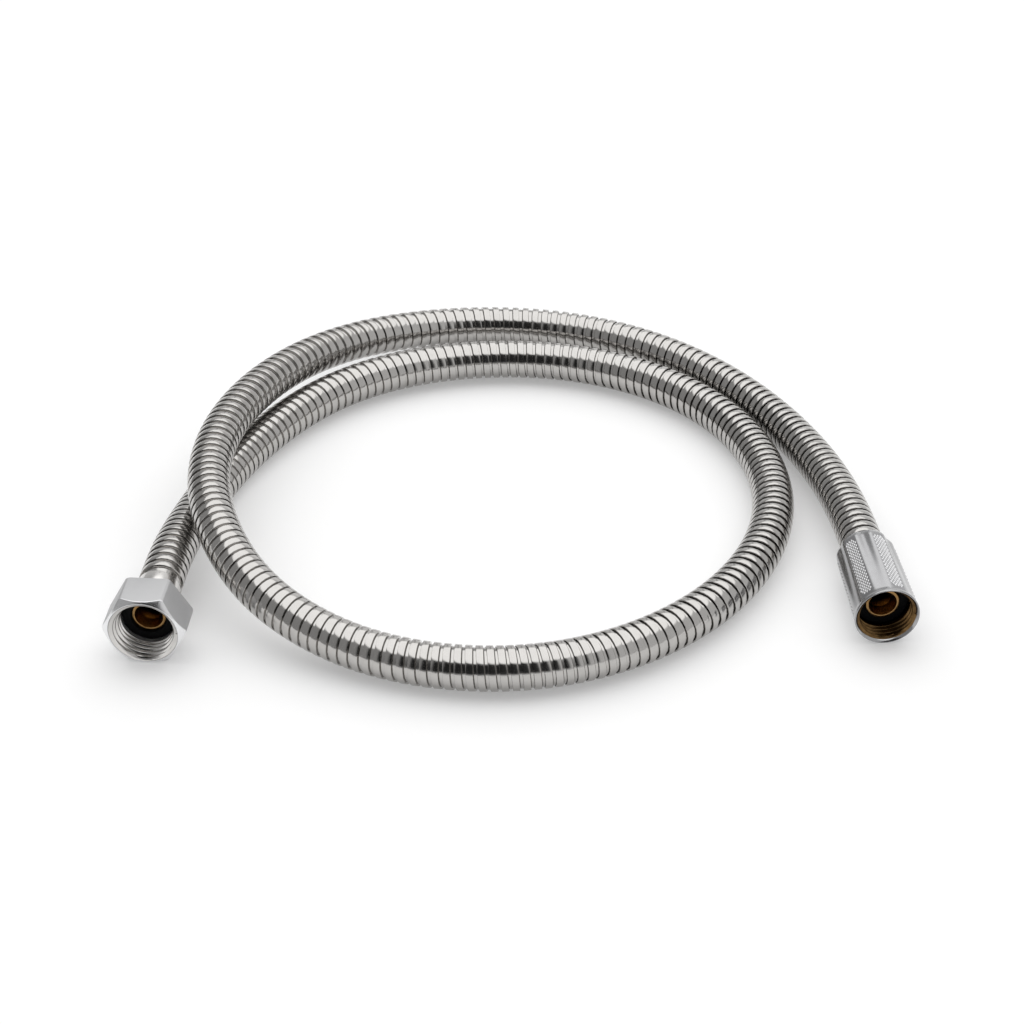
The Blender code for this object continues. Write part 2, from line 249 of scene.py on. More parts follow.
def node(tree, kind, settings=None, inputs=None, output=0):
    """Adds one node. Settings come first, a ramp's stops among them, then its inputs."""
    made = tree.nodes.new(kind)
    for name, value in (settings or {}).items():
        if name == "stops":
            ramp = made.color_ramp.elements
            while len(ramp) < len(value):
                ramp.new(1.0)
            for element, (position, shade) in zip(ramp, value):
                element.position = position
                element.color = (*shade, 1.0) if isinstance(shade, tuple) else (shade, shade, shade, 1.0)
        else:
            setattr(made, name, value)
    for name, value in (inputs or {}).items():
        feed(tree, made.inputs[name], value)
    return Value(tree, made.outputs[output])


def calc(operation, *values, scale=None, output=0):
    """One Math node, or one Vector Math node if any of the values is a vector."""
    tree = next(value.tree for value in values if isinstance(value, Value))
    wide = any(isinstance(value, Value) and value.wide() for value in values)
    kind = "ShaderNodeVectorMath" if wide else "ShaderNodeMath"
    inputs = dict(enumerate(values))
    if scale is not None:
        inputs["Scale"] = scale
    return node(tree, kind, {"operation": operation}, inputs, output)


def new_tree(name, inputs):
    """A geometry tree and its named inputs, each a (name, socket type) pair."""
    tree = bpy.data.node_groups.new(name, "GeometryNodeTree")
    for label, kind in inputs:
        tree.interface.new_socket(name=label, in_out="INPUT", socket_type=kind)
    tree.interface.new_socket(name="Mesh", in_out="OUTPUT", socket_type="NodeSocketGeometry")
    given = tree.nodes.new("NodeGroupInput")
    return tree, {label: Value(tree, given.outputs[label]) for label, _ in inputs}


def close_tree(tree, geometry, material):
    """Ends a geometry tree with its instances made real and its material set."""
    real = node(tree, "GeometryNodeRealizeInstances", {}, {"Geometry": geometry})
    dressed = node(tree, "GeometryNodeSetMaterial", {}, {"Geometry": real, "Material": material})
    out = tree.nodes.new("NodeGroupOutput")
    tree.links.new(dressed.socket, out.inputs[0])


def linked(name, data):
    made = bpy.data.objects.new(name, data)
    bpy.context.scene.collection.objects.link(made)
    return made


def grown(name, tree, settings):
    """The piece that a geometry tree makes from these inputs, as a plain mesh at the origin."""
    piece = linked(name, bpy.data.meshes.new(name))
    modifier = piece.modifiers.new(name, "NODES")
    modifier.node_group = tree
    for item in tree.interface.items_tree:
        if item.in_out == "INPUT":
            modifier[item.identifier] = settings[item.name]
    graph = bpy.context.evaluated_depsgraph_get()
    mesh = bpy.data.meshes.new_from_object(piece.evaluated_get(graph))
    piece.modifiers.remove(modifier)
    piece.data = mesh
    return piece


def drawn_line(name, points, closed=False):
    """A curve of straight runs through the points."""
    curve = bpy.data.curves.new(name, "CURVE")
    curve.dimensions = "3D"
    spline = curve.splines.new("POLY")
    spline.points.add(len(points) - 1)
    for point, place in zip(spline.points, points):
        point.co = (*place, 1.0)
    spline.use_cyclic_u = closed
    return linked(name, curve)


CUT_CONE_SLOPE = 2.5
LEAST_FLARE_DEPTH = 0.001
WELD_DISTANCE = 1e-6


def winding_tree():
    """Winds a closed section round a route, one turn for each few route points.

    The section's points are (along the route, out from it). Points past the route's ends are
    pulled back to them, which squares the ends off. Flare opens the first turns outwards, down
    to nothing at Flare Depth, and a steep cone from Cut Radius cuts them back.
    """
    tree, given = new_tree(
        "winding",
        (
            ("Route", "NodeSocketObject"),
            ("Section", "NodeSocketObject"),
            ("Turns", "NodeSocketInt"),
            ("Route Points per Turn", "NodeSocketInt"),
            ("Steps per Turn", "NodeSocketInt"),
            ("Section Points", "NodeSocketInt"),
            ("End Margin", "NodeSocketFloat"),
            ("Flare", "NodeSocketFloat"),
            ("Flare Depth", "NodeSocketFloat"),
            ("Cut Radius", "NodeSocketFloat"),
            ("Material", "NodeSocketMaterial"),
        ),
    )
    route = node(tree, "GeometryNodeObjectInfo", {}, {"Object": given["Route"]}, "Geometry")
    section = node(tree, "GeometryNodeObjectInfo", {}, {"Object": given["Section"]}, "Geometry")
    position = node(tree, "GeometryNodeInputPosition")
    tangent = node(tree, "GeometryNodeInputTangent")
    length = node(tree, "GeometryNodeSplineParameter", {}, {}, "Length")
    whole = node(tree, "GeometryNodeCurveLength", {}, {"Curve": route})

    steps = given["Turns"] * given["Steps per Turn"]
    count = given["Section Points"]
    sheet = node(
        tree,
        "GeometryNodeMeshGrid",
        {},
        {"Size X": steps, "Size Y": count, "Vertices X": steps + 1, "Vertices Y": count + 1},
    )
    place = node(tree, "ShaderNodeSeparateXYZ", {}, {"Vector": position})
    across = node(tree, "ShaderNodeSeparateXYZ", {}, {"Vector": position}, "Y")
    column = calc("ROUND", across + count * 0.5)
    turn = calc("ROUND", place + steps * 0.5) / given["Steps per Turn"]
    along = turn * given["Route Points per Turn"]
    first = calc("FLOOR", along)
    share = along - first

    def sampled(geometry, field, index, kind):
        return node(
            tree,
            "GeometryNodeSampleIndex",
            {"data_type": kind, "clamp": True},
            {"Geometry": geometry, "Value": field, "Index": index},
        )

    def between(field, kind):
        low = sampled(route, field, first, kind)
        high = sampled(route, field, first + 1.0, kind)
        return low + (high - low) * share

    middle = between(position, "FLOAT_VECTOR")
    forward = calc("NORMALIZE", between(tangent, "FLOAT_VECTOR"))
    station = between(length, "FLOAT")
    side = calc("NORMALIZE", calc("CROSS_PRODUCT", forward, (0.0, 0.0, 1.0)))
    over = calc("CROSS_PRODUCT", side, forward) * -1.0

    drawn = sampled(section, position, calc("FLOORED_MODULO", column, count), "FLOAT_VECTOR")
    ahead = node(tree, "ShaderNodeSeparateXYZ", {}, {"Vector": drawn}, "X")
    out = node(tree, "ShaderNodeSeparateXYZ", {}, {"Vector": drawn}, "Y")
    before_start = (station + given["End Margin"]) * -1.0
    before_end = whole - station + given["End Margin"]
    kept = calc("MAXIMUM", calc("MINIMUM", ahead, before_end), before_start)
    opened = 1.0 - (station + kept) / calc("MAXIMUM", given["Flare Depth"], LEAST_FLARE_DEPTH)
    flared = out + given["Flare"] * calc("MAXIMUM", opened, 0.0)
    cone = given["Cut Radius"] - (station + kept) * CUT_CONE_SLOPE
    radius = calc("MAXIMUM", flared, cone)
    angle = turn * (2 * math.pi)
    spoke = side * calc("COSINE", angle) + over * calc("SINE", angle)
    moved = node(
        tree,
        "GeometryNodeSetPosition",
        {},
        {"Geometry": sheet, "Position": middle + forward * kept + spoke * radius},
    )
    label = node(tree, "ShaderNodeCombineXYZ", {}, {"X": turn, "Y": ahead, "Z": out})
    marked = node(
        tree,
        "GeometryNodeStoreNamedAttribute",
        {"data_type": "FLOAT_VECTOR", "domain": "POINT"},
        {"Geometry": moved, "Name": "winding", "Value": label},
    )
    welded = node(
        tree, "GeometryNodeMergeByDistance", {}, {"Geometry": marked, "Distance": WELD_DISTANCE}
    )
    close_tree(tree, welded, given["Material"])
    return tree


winding = winding_tree()


def wound(
    name, route, section, turns, steps, margin, material, flare=0.0, flare_depth=0.0, cut=0.0
):
    """A closed section wound along a route, with its two cut ends filled."""
    path = drawn_line(name + "_route", route)
    outline = drawn_line(name + "_section", [(*point, 0.0) for point in section], closed=True)
    piece = grown(
        name,
        winding,
        {
            "Route": path,
            "Section": outline,
            "Turns": turns,
            "Route Points per Turn": ROUTE_POINTS_PER_TURN,
            "Steps per Turn": steps,
            "Section Points": len(section),
            "End Margin": margin,
            "Flare": flare,
            "Flare Depth": flare_depth,
            "Cut Radius": cut,
            "Material": material,
        },
    )
    bm = bmesh.new()
    bm.from_mesh(piece.data)
    bmesh.ops.holes_fill(bm, edges=[edge for edge in bm.edges if edge.is_boundary], sides=0)
    bmesh.ops.recalc_face_normals(bm, faces=bm.faces)
    bm.to_mesh(piece.data)
    bm.free()
    bpy.data.objects.remove(path)
    bpy.data.objects.remove(outline)
    return piece


def smooth_but_creased(piece, degrees):
    piece.data.shade_smooth()
    piece.data.set_sharp_from_angle(angle=math.radians(degrees))


def new_finish(name):
    """A material's tree and its shader."""
    material = bpy.data.materials.new(name)
    material.use_nodes = True
    return material, material.node_tree, material.node_tree.nodes["Principled BSDF"]


def dress(tree, shader, sockets):
    for name, value in sockets.items():
        feed(tree, shader.inputs[name], value)


def blended(tree, share, low, high):
    """Two colours mixed by a share."""
    return node(
        tree,
        "ShaderNodeMix",
        {"data_type": "RGBA"},
        {0: share, 6: low, 7: high},
        2,
    )


def specks(tree, place, scale, detail=2.0, roughness=0.5):
    return node(
        tree,
        "ShaderNodeTexNoise",
        {},
        {"Vector": place, "Scale": scale, "Detail": detail, "Roughness": roughness},
    )


def eased(tree, value, low, high):
    """0 below low and 1 above high, with a smooth rise between them."""
    return node(
        tree,
        "ShaderNodeMapRange",
        {"interpolation_type": "SMOOTHSTEP"},
        {0: value, 1: low, 2: high},
    )


def bumped(tree, height, distance, strength=1.0):
    return node(
        tree,
        "ShaderNodeBump",
        {},
        {"Height": height, "Distance": distance, "Strength": strength},
    )


def strip_finish():
    """Polished rolled stainless: faint lines along the strip, with painted shade darkening the grooves.
    """
    material, tree, shader = new_finish("polished_strip")
    label = node(tree, "ShaderNodeAttribute", {"attribute_name": "winding"}, {}, "Vector")
    turn = node(tree, "ShaderNodeSeparateXYZ", {}, {"Vector": label}, "X")
    ahead = node(tree, "ShaderNodeSeparateXYZ", {}, {"Vector": label}, "Y")
    out = node(tree, "ShaderNodeSeparateXYZ", {}, {"Vector": label}, "Z")
    place = node(tree, "ShaderNodeTexCoord", {}, {}, "Object")
    grain = node(tree, "ShaderNodeCombineXYZ", {}, {"X": turn * 1.5, "Y": ahead * 9000.0})
    lines = specks(tree, grain, 1.0, 3.0)
    cloud = specks(tree, place, 260.0, 3.0)
    crest = CASING_OD / 2
    # Painted shade: the colour darkens in the grooves below the crests.
    shaded_groove = 1.0 - eased(tree, out, crest - 0.0011, crest - 0.0002)
    tone = blended(tree, cloud, *STRIP_TONES)
    colour = blended(tree, shaded_groove * GROOVE_SHADE_SHARE, tone, GROOVE_SHADE_TONE)
    roughness = 0.10 + lines * 0.06 + cloud * 0.05 + shaded_groove * 0.10
    dress(
        tree,
        shader,
        {
            "Base Color": colour,
            "Metallic": 1.0,
            "Roughness": roughness,
            "Normal": bumped(tree, lines * 0.000003 + cloud * 0.000035, 1.0),
        },
    )
    return material


def wind_casing():
    line = hose_line(CASING_START)
    fine_step = 0.00025
    fine = np.arange(0.0, lengths_along(line)[-1], fine_step)
    where, pitch = np.array(PITCH_ALONG).T / 1000
    turns_to = np.r_[0.0, np.cumsum(np.diff(fine) / np.interp(fine[1:], where, pitch))]
    margin = STRIP_CREST_WIDTH / 2
    first = np.interp(margin, fine, turns_to)
    turns = int(np.interp(fine[-1] - margin, fine, turns_to) - first)
    last = np.interp(fine[-1] - margin, fine, turns_to)
    marks = np.interp(np.linspace(first, last, turns * ROUTE_POINTS_PER_TURN + 1), turns_to, fine)
    route = places_at(line, marks)
    crest, floor = CASING_OD / 2, CASING_OD / 2 - STRIP_STEP
    half = STRIP_CREST_WIDTH / 2
    inner = half - STRIP_THICKNESS
    top = crest - STRIP_EDGE
    bend = 1 - math.sqrt(0.5)
    shoulder = [
        (half - STRIP_SHOULDER, top),
        (half - bend * STRIP_SHOULDER, top - bend * STRIP_SHOULDER_DROP),
        (half - STRIP_EDGE, top - STRIP_SHOULDER_DROP),
    ]
    section = [
        (-STRIP_REACH, floor),
        (-half - STRIP_FOLD_WIDTH, floor),
        (-half, floor - STRIP_FOLD_DEPTH),
        *[(-ahead, out) for ahead, out in shoulder[::-1]],
        *shoulder,
        (half, floor + STRIP_HOOK_GAP),
        (inner, crest - STRIP_THICKNESS),
        (-inner, crest - STRIP_THICKNESS),
        (-inner, floor - STRIP_THICKNESS),
    ]
    piece = wound("wound_casing", route, section, turns, STRIP_FACETS, margin, strip_finish())
    smooth_but_creased(piece, STRIP_CREASE)
    return piece, line


casing, casing_line = wind_casing()
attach(casing, "hose")
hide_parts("casing")


# LINER. The rubber tube that carries the water, extruded in one length. Each end is pushed over
# the barbs of a brass tail and held there by the ferrule. It shows nowhere in the closed hose.
LINER_START = 0.0163
LINER_OD = 0.0114
LINER_WALL = 0.0017
LINER_STEP = 0.004
LINER_SIDES_SETTING = 6
LINER_TONE = (0.03, 0.03, 0.03, 1.0)
RUBBER_BLOOM = 1.9


def matte_rubber(name, colour):
    """Black moulded or extruded rubber, with a faint bloom and a fine grain."""
    material, tree, shader = new_finish(name)
    place = node(tree, "ShaderNodeTexCoord", {}, {}, "Object")
    bloom = specks(tree, place, 320.0, 4.0)
    grain = specks(tree, place, 5000.0, 2.0)
    bloomed = tuple(RUBBER_BLOOM * part for part in colour[:3]) + (1.0,)
    dress(
        tree,
        shader,
        {
            "Base Color": blended(tree, bloom, colour, bloomed),
            "Roughness": 0.6 + bloom * 0.2,
            "Specular IOR Level": 0.12,
            "Normal": bumped(tree, grain, 0.00002, 0.5),
        },
    )
    return material


def plain_mesh(piece):
    """Replaces a piece's curve or modifiers by the mesh that they make."""
    graph = bpy.context.evaluated_depsgraph_get()
    mesh = bpy.data.meshes.new_from_object(piece.evaluated_get(graph))
    made = linked(piece.name + "_made", mesh)
    name = piece.name
    bpy.data.objects.remove(piece)
    made.name = name
    return made


def extrude_liner():
    line = hose_line(LINER_START)
    length = lengths_along(line)[-1]
    points = places_at(line, np.linspace(0.0, length, round(length / LINER_STEP)))
    tube = drawn_line("liner_tube", points)
    tube.data.bevel_depth = LINER_OD / 2
    tube.data.bevel_resolution = LINER_SIDES_SETTING
    wall = tube.modifiers.new("wall", "SOLIDIFY")
    wall.thickness = LINER_WALL
    wall.offset = -1.0
    tube.data.materials.append(matte_rubber("liner_rubber", LINER_TONE))
    made = plain_mesh(tube)
    smooth_but_creased(made, 40)
    return made, points


liner, liner_points = extrude_liner()
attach(liner, "hose")
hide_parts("liner")


# BRASS TAILS. One at each end, turned from brass bar and bored through. A funnelled tip stands in
# the nut's mouth, a flange behind it carries the washer, and the nut turns on the neck. The
# barbed spigot behind that is pressed into the liner.
WASHER_FACE = 0.0089
WASHER_BACK = 0.0111
FLANGE_FACE, FLANGE_BACK = 0.0114, 0.0124
WALL_FACE, WALL_BACK = 0.0127, 0.0145
FERRULE_FACE, FERRULE_BACK = 0.0148, 0.0263
TIP_FACES = {"hex": 0.0097, "sleeve": 0.0079}
TIP_RADIUS, TIP_INNER_RADIUS = 0.00595, 0.0050
FLANGE_RADIUS = 0.0089
NECK_RADIUS = 0.00615
SHANK_RADIUS, SHANK_BACK = 0.0047, 0.0160
SPIGOT_RADIUS, SPIGOT_BACK = 0.0037, 0.0253
SPIGOT_TIP_RADIUS = 0.0034
BARBS, BARB_DEPTH, BARB_TAPER_SHARE = 4, 0.0003, 0.9
FUNNEL_RADIUS, BORE_RADIUS = 0.0040, 0.0028
FUNNEL_DEPTH, THROAT_TAPER = 0.0040, 0.0022
TAIL_ROUNDING = 0.00012
TAIL_SEGMENTS = 96
GOLDEN_TONE, TARNISHED_TONE = (0.34, 0.205, 0.085), (0.20, 0.11, 0.04)
# Painted shade: the bore of each tail is coloured near black from a set depth.
BORE_SHADE_TONE = (0.012, 0.006, 0.003, 1.0)
BORE_SHADE_FROM, BORE_SHADE_LENGTH = 0.0040, 0.0022


def rounded(points, radius, steps=3):
    """A closed outline with each corner rounded, by at most a third of its shorter side."""
    outline = []
    count = len(points)
    for index in range(count):
        corner = Vector(points[index])
        before = Vector(points[index - 1]) - corner
        after = Vector(points[(index + 1) % count]) - corner
        reach = min(radius, before.length / 3, after.length / 3)
        start = corner + before.normalized() * reach
        end = corner + after.normalized() * reach
        for step in range(steps + 1):
            t = step / steps
            outline.append(tuple((1 - t) ** 2 * start + 2 * t * (1 - t) * corner + t**2 * end))
    return outline


def turned(name, outline, end, segments, material):
    """A closed (radius, station) outline turned round an end's axis."""
    bm = bmesh.new()
    rings = []
    for step in range(segments):
        angle = 2 * math.pi * step / segments
        across, up = math.cos(angle), math.sin(angle)
        rings.append(
            [bm.verts.new((radius * across, radius * up, z)) for radius, z in outline]
        )
    for ring, next_ring in zip(rings, rings[1:] + rings[:1]):
        for index in range(len(outline)):
            after = (index + 1) % len(outline)
            bm.faces.new((ring[index], next_ring[index], next_ring[after], ring[after]))
    bmesh.ops.recalc_face_normals(bm, faces=bm.faces)
    mesh = bpy.data.meshes.new(name)
    bm.to_mesh(mesh)
    bm.free()
    mesh.transform(end)
    mesh.materials.append(material)
    piece = linked(name, mesh)
    smooth_but_creased(piece, 35)
    return piece


def axis_place(tree, end):
    """A place in an end's own frame, from Object coordinates."""
    place = node(tree, "ShaderNodeTexCoord", {}, {}, "Object")
    back = end.inverted()
    moved = node(
        tree,
        "ShaderNodeMapping",
        {"vector_type": "POINT"},
        {"Vector": place, "Location": tuple(back.translation), "Rotation": tuple(back.to_euler())},
    )
    return moved


def turned_brass(name, end, shade_from=1.0, brightness=1.0):
    """Golden turned brass: fine rings from the tool, brown tarnish, and painted shade in the bore.

    The painted shade in the bore starts at this station, inside the radius of the tip.
    """
    material, tree, shader = new_finish(name)
    place = axis_place(tree, end)
    x = node(tree, "ShaderNodeSeparateXYZ", {}, {"Vector": place}, "X")
    y = node(tree, "ShaderNodeSeparateXYZ", {}, {"Vector": place}, "Y")
    z = node(tree, "ShaderNodeSeparateXYZ", {}, {"Vector": place}, "Z")
    radius = (x * x + y * y) ** 0.5
    tool_marks = node(tree, "ShaderNodeCombineXYZ", {}, {"X": radius * 6000.0, "Y": z * 6000.0})
    rings = specks(tree, tool_marks, 1.0, 2.0)
    tarnish = specks(tree, place, 420.0, 4.0)
    golden, tarnished = (
        tuple(part * brightness for part in tone) + (1.0,) for tone in (GOLDEN_TONE, TARNISHED_TONE)
    )
    metal = blended(tree, eased(tree, tarnish, 0.35, 0.75), golden, tarnished)
    inside = 1.0 - eased(tree, radius, TIP_INNER_RADIUS, TIP_INNER_RADIUS + 0.0004)
    # Painted shade inside the bore, growing with depth.
    bore_shade = eased(tree, z, shade_from, shade_from + BORE_SHADE_LENGTH) * inside
    dress(
        tree,
        shader,
        {
            "Base Color": blended(tree, bore_shade * 0.90, metal, BORE_SHADE_TONE),
            "Metallic": 1.0,
            "Roughness": 0.16 + tarnish * 0.16,
            "Normal": bumped(tree, rings, 0.00002, 0.5),
        },
    )
    return material


def turn_tail(name, end, tip_face, brass):
    funnel_end = tip_face + FUNNEL_DEPTH
    outline = [
        (TIP_INNER_RADIUS, tip_face),
        (TIP_RADIUS, tip_face),
        (TIP_RADIUS, FLANGE_FACE),
        (FLANGE_RADIUS, FLANGE_FACE),
        (FLANGE_RADIUS, FLANGE_BACK),
        (NECK_RADIUS, FLANGE_BACK),
        (NECK_RADIUS, WALL_BACK),
        (SHANK_RADIUS, WALL_BACK),
        (SHANK_RADIUS, SHANK_BACK),
    ]
    length = (SPIGOT_BACK - SHANK_BACK) / BARBS
    for index in range(BARBS):
        outline += [
            (SPIGOT_RADIUS, SHANK_BACK + index * length),
            (SPIGOT_RADIUS - BARB_DEPTH, SHANK_BACK + (index + BARB_TAPER_SHARE) * length),
        ]
    outline += [
        (SPIGOT_TIP_RADIUS, SPIGOT_BACK),
        (BORE_RADIUS, SPIGOT_BACK),
        (BORE_RADIUS, funnel_end + THROAT_TAPER),
        (FUNNEL_RADIUS, funnel_end),
    ]
    return turned(name, rounded(outline, TAIL_ROUNDING, 2), end, TAIL_SEGMENTS, brass)


for side, end in (("hex", hex_end), ("sleeve", sleeve_end)):
    brass = turned_brass(f"turned_brass_{side}", end, TIP_FACES[side] + BORE_SHADE_FROM)
    tail = turn_tail(f"brass_tail_{side}", end, TIP_FACES[side], brass)
    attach(tail, "hose")
    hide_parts(f"tail_{side}")


# WASHERS. A flat ring of black rubber round each brass tip. It seals against the end of whatever
# the nut is screwed on to.
WASHER_INNER_RADIUS, WASHER_RADIUS = 0.00625, 0.009215
WASHER_ROUNDING = 0.0003
WASHER_TONE = (0.003, 0.003, 0.0033, 1.0)

washer_rubber = matte_rubber("washer_rubber", WASHER_TONE)
washer_ring = rounded(
    [
        (WASHER_INNER_RADIUS, WASHER_FACE),
        (WASHER_RADIUS, WASHER_FACE),
        (WASHER_RADIUS, WASHER_BACK),
        (WASHER_INNER_RADIUS, WASHER_BACK),
    ],
    WASHER_ROUNDING,
)
for side, end in (("hex", hex_end), ("sleeve", sleeve_end)):
    washer = turned(f"rubber_washer_{side}", washer_ring, end, TAIL_SEGMENTS, washer_rubber)
    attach(washer, "hose")
    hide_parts(f"washer_{side}")


# FERRULES. A steel cup at each end, pressed down over the liner and the spigot, in line with the
# casing. The one at the hexagon nut shows as a plain collar behind it; the other is hidden.
FERRULE_RADIUS, FERRULE_INNER_RADIUS, FERRULE_HOLE_RADIUS = 0.0079, 0.0060, 0.0050
FERRULE_END_WALL = 0.0012
FERRULE_ROUNDING = 0.0003
DRAWN_STEEL_TONES = (0.60, 0.585, 0.565, 1.0), (0.68, 0.665, 0.65, 1.0)


def drawn_steel(name, end):
    """Smooth drawn steel, with faint lines round it."""
    material, tree, shader = new_finish(name)
    place = axis_place(tree, end)
    z = node(tree, "ShaderNodeSeparateXYZ", {}, {"Vector": place}, "Z")
    lines = specks(tree, node(tree, "ShaderNodeCombineXYZ", {}, {"X": z * 9000.0}), 1.0, 3.0)
    cloud = specks(tree, place, 300.0, 3.0)
    dress(
        tree,
        shader,
        {
            "Base Color": blended(tree, cloud, *DRAWN_STEEL_TONES),
            "Metallic": 1.0,
            "Roughness": 0.14 + lines * 0.08,
            "Normal": bumped(tree, lines, 0.000004, 0.6),
        },
    )
    return material


ferrule_cup = rounded(
    [
        (FERRULE_HOLE_RADIUS, FERRULE_FACE),
        (FERRULE_RADIUS, FERRULE_FACE),
        (FERRULE_RADIUS, FERRULE_BACK),
        (FERRULE_INNER_RADIUS, FERRULE_BACK),
        (FERRULE_INNER_RADIUS, FERRULE_FACE + FERRULE_END_WALL),
        (FERRULE_HOLE_RADIUS, FERRULE_FACE + FERRULE_END_WALL),
    ],
    FERRULE_ROUNDING,
)
for side, end in (("hex", hex_end), ("sleeve", sleeve_end)):
    steel = drawn_steel(f"drawn_steel_{side}", end)
    ferrule = turned(f"steel_ferrule_{side}", ferrule_cup, end, TAIL_SEGMENTS, steel)
    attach(ferrule, "hose")
    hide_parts(f"ferrule_{side}")


# HEXAGON NUT. Satin-plated brass, 26 mm across its flats, chamfered at the front, with a G 1/2
# thread cut inside it. It is screwed on to the shower's outlet with a spanner and turns freely on
# the tail's neck.
THREAD_MAJOR, THREAD_MINOR, THREAD_PITCH = 0.020955, 0.01863, 0.001814
THREAD_START, THREAD_END = 0.0001, 0.0086
THREAD_BASE = 0.00174
THREAD_STEPS = 72
SEAT_RADIUS, SEAT_FACE = 0.0097, 0.0087
NECK_HOLE_RADIUS = 0.00645
HEX_FLATS = 0.0260
HEX_OPENING = 0.0242
HEX_OPENING_DEPTH = 0.0048
HEX_LAND = 0.0124
HEX_CHAMFER_SLOPE = 0.9
HEX_CORNER_FACET = 0.0010
HEX_BACK_BREAK = 0.0005
HEX_EDGE_ROUNDING = 0.00014
NUT_SEGMENTS = 144
SATIN_TONES = (0.49, 0.49, 0.495, 1.0), (0.56, 0.56, 0.565, 1.0)
# Painted highlight: the turned chamfer is mixed towards this pale tone.
CHAMFER_HIGHLIGHT_TONE, CHAMFER_HIGHLIGHT_SHARE = (0.86, 0.86, 0.87, 1.0), 0.8


def satin_plate():
    """Satin chrome plate: slightly clouded, with a fine grain, and a painted highlight on the chamfer.
    """
    material, tree, shader = new_finish("satin_plate")
    place = axis_place(tree, hex_end)
    cloud = specks(tree, place, 240.0, 4.0)
    grain = specks(tree, place, 6000.0, 2.0)
    x = node(tree, "ShaderNodeSeparateXYZ", {}, {"Vector": place}, "X")
    y = node(tree, "ShaderNodeSeparateXYZ", {}, {"Vector": place}, "Y")
    z = node(tree, "ShaderNodeSeparateXYZ", {}, {"Vector": place}, "Z")
    radius = (x * x + y * y) ** 0.5
    behind_chamfer = z - (radius - HEX_LAND) * HEX_CHAMFER_SLOPE
    # The turned chamfer: smoother, which is real, and paler, which is a painted highlight.
    turned_face = 1.0 - eased(tree, behind_chamfer, 0.00005, 0.00020)
    plate = blended(tree, cloud, *SATIN_TONES)
    dress(
        tree,
        shader,
        {
            "Base Color": blended(tree, turned_face * CHAMFER_HIGHLIGHT_SHARE, plate, CHAMFER_HIGHLIGHT_TONE),
            "Metallic": 1.0,
            "Roughness": 0.58 + cloud * 0.10 - turned_face * 0.40,
            "Normal": bumped(tree, grain, 0.00001, 0.35),
        },
    )
    return material


def cut_thread(name, end, start, opening, opening_depth, material):
    """The ridge of a G 1/2 thread, wound inside a nut from near its mouth to the washer's seat.

    The nut widens to this opening over its first stretch, and the ridge lies on that cone.
    """
    root, crest = THREAD_MAJOR / 2, THREAD_MINOR / 2
    flank = [
        (THREAD_BASE / 2, root + 0.00003),
        (0.00064, root - 0.00022),
        (0.00036, crest + 0.00034),
        (0.00021, crest + 0.00009),
    ]
    section = [(-ahead, out) for ahead, out in flank] + [(0.0, crest)] + flank[::-1]
    length = THREAD_END - start
    turns = round(length / THREAD_PITCH)
    count = turns * ROUTE_POINTS_PER_TURN
    route = [on_axis(end, start + length * step / count) for step in range(count + 1)]
    left = opening_depth - start
    flare = (opening / 2 - root) * left / opening_depth
    piece = wound(name, route, section, turns, THREAD_STEPS, 0.0, material, flare, left, root + flare)
    smooth_but_creased(piece, 50)
    return piece


def forge_hex_nut(material, inside):
    root = THREAD_MAJOR / 2
    corner = HEX_FLATS / 2 / math.cos(math.radians(30))
    clear = corner + 0.001
    outline = [
        (NECK_HOLE_RADIUS, WALL_BACK),
        (NECK_HOLE_RADIUS, WALL_FACE),
        (SEAT_RADIUS, WALL_FACE),
        (SEAT_RADIUS, SEAT_FACE),
        (root, SEAT_FACE),
        (root, HEX_OPENING_DEPTH),
        (HEX_OPENING / 2, 0.0),
        (HEX_LAND, 0.0),
        (clear, (clear - HEX_LAND) * HEX_CHAMFER_SLOPE),
        (clear, WALL_BACK - HEX_BACK_BREAK - (clear - corner)),
        (corner - HEX_BACK_BREAK, WALL_BACK),
    ]
    blank = turned("hexagon_blank", outline, Matrix.Identity(4), NUT_SEGMENTS, material)
    blank.data.materials.append(inside)
    for face in blank.data.polygons:
        middle = face.center
        if math.hypot(middle.x, middle.y) < HEX_OPENING / 2 and THREAD_END > middle.z > 0.0:
            face.material_index = 1
    bm = bmesh.new()
    bar_length = WALL_BACK + 0.004
    bmesh.ops.create_cone(
        bm, cap_ends=True, segments=6, radius1=corner, radius2=corner, depth=bar_length
    )
    bmesh.ops.rotate(bm, verts=bm.verts, matrix=Euler((0.0, 0.0, math.radians(30))).to_matrix())
    bmesh.ops.translate(bm, verts=bm.verts, vec=(0.0, 0.0, WALL_BACK / 2))
    edges = [
        edge for edge in bm.edges if abs(edge.verts[0].co.z - edge.verts[1].co.z) > bar_length / 2
    ]
    facet = HEX_CORNER_FACET / (2 * math.sin(math.radians(60)))
    bmesh.ops.bevel(bm, geom=edges, offset=facet, offset_type="OFFSET", segments=1, affect="EDGES")
    mesh = bpy.data.meshes.new("hexagon_bar")
    bm.to_mesh(mesh)
    bm.free()
    bar = linked("hexagon_bar", mesh)
    cut = blank.modifiers.new("hexagon", "BOOLEAN")
    cut.operation = "INTERSECT"
    cut.object = bar
    soft = blank.modifiers.new("soft_edges", "BEVEL")
    soft.width = HEX_EDGE_ROUNDING
    soft.segments = 2
    soft.limit_method = "ANGLE"
    soft.angle_limit = math.radians(24)
    nut = plain_mesh(blank)
    bpy.data.objects.remove(bar)
    nut.name = "hexagon_nut"
    nut.data.transform(hex_end)
    smooth_but_creased(nut, 32)
    return nut


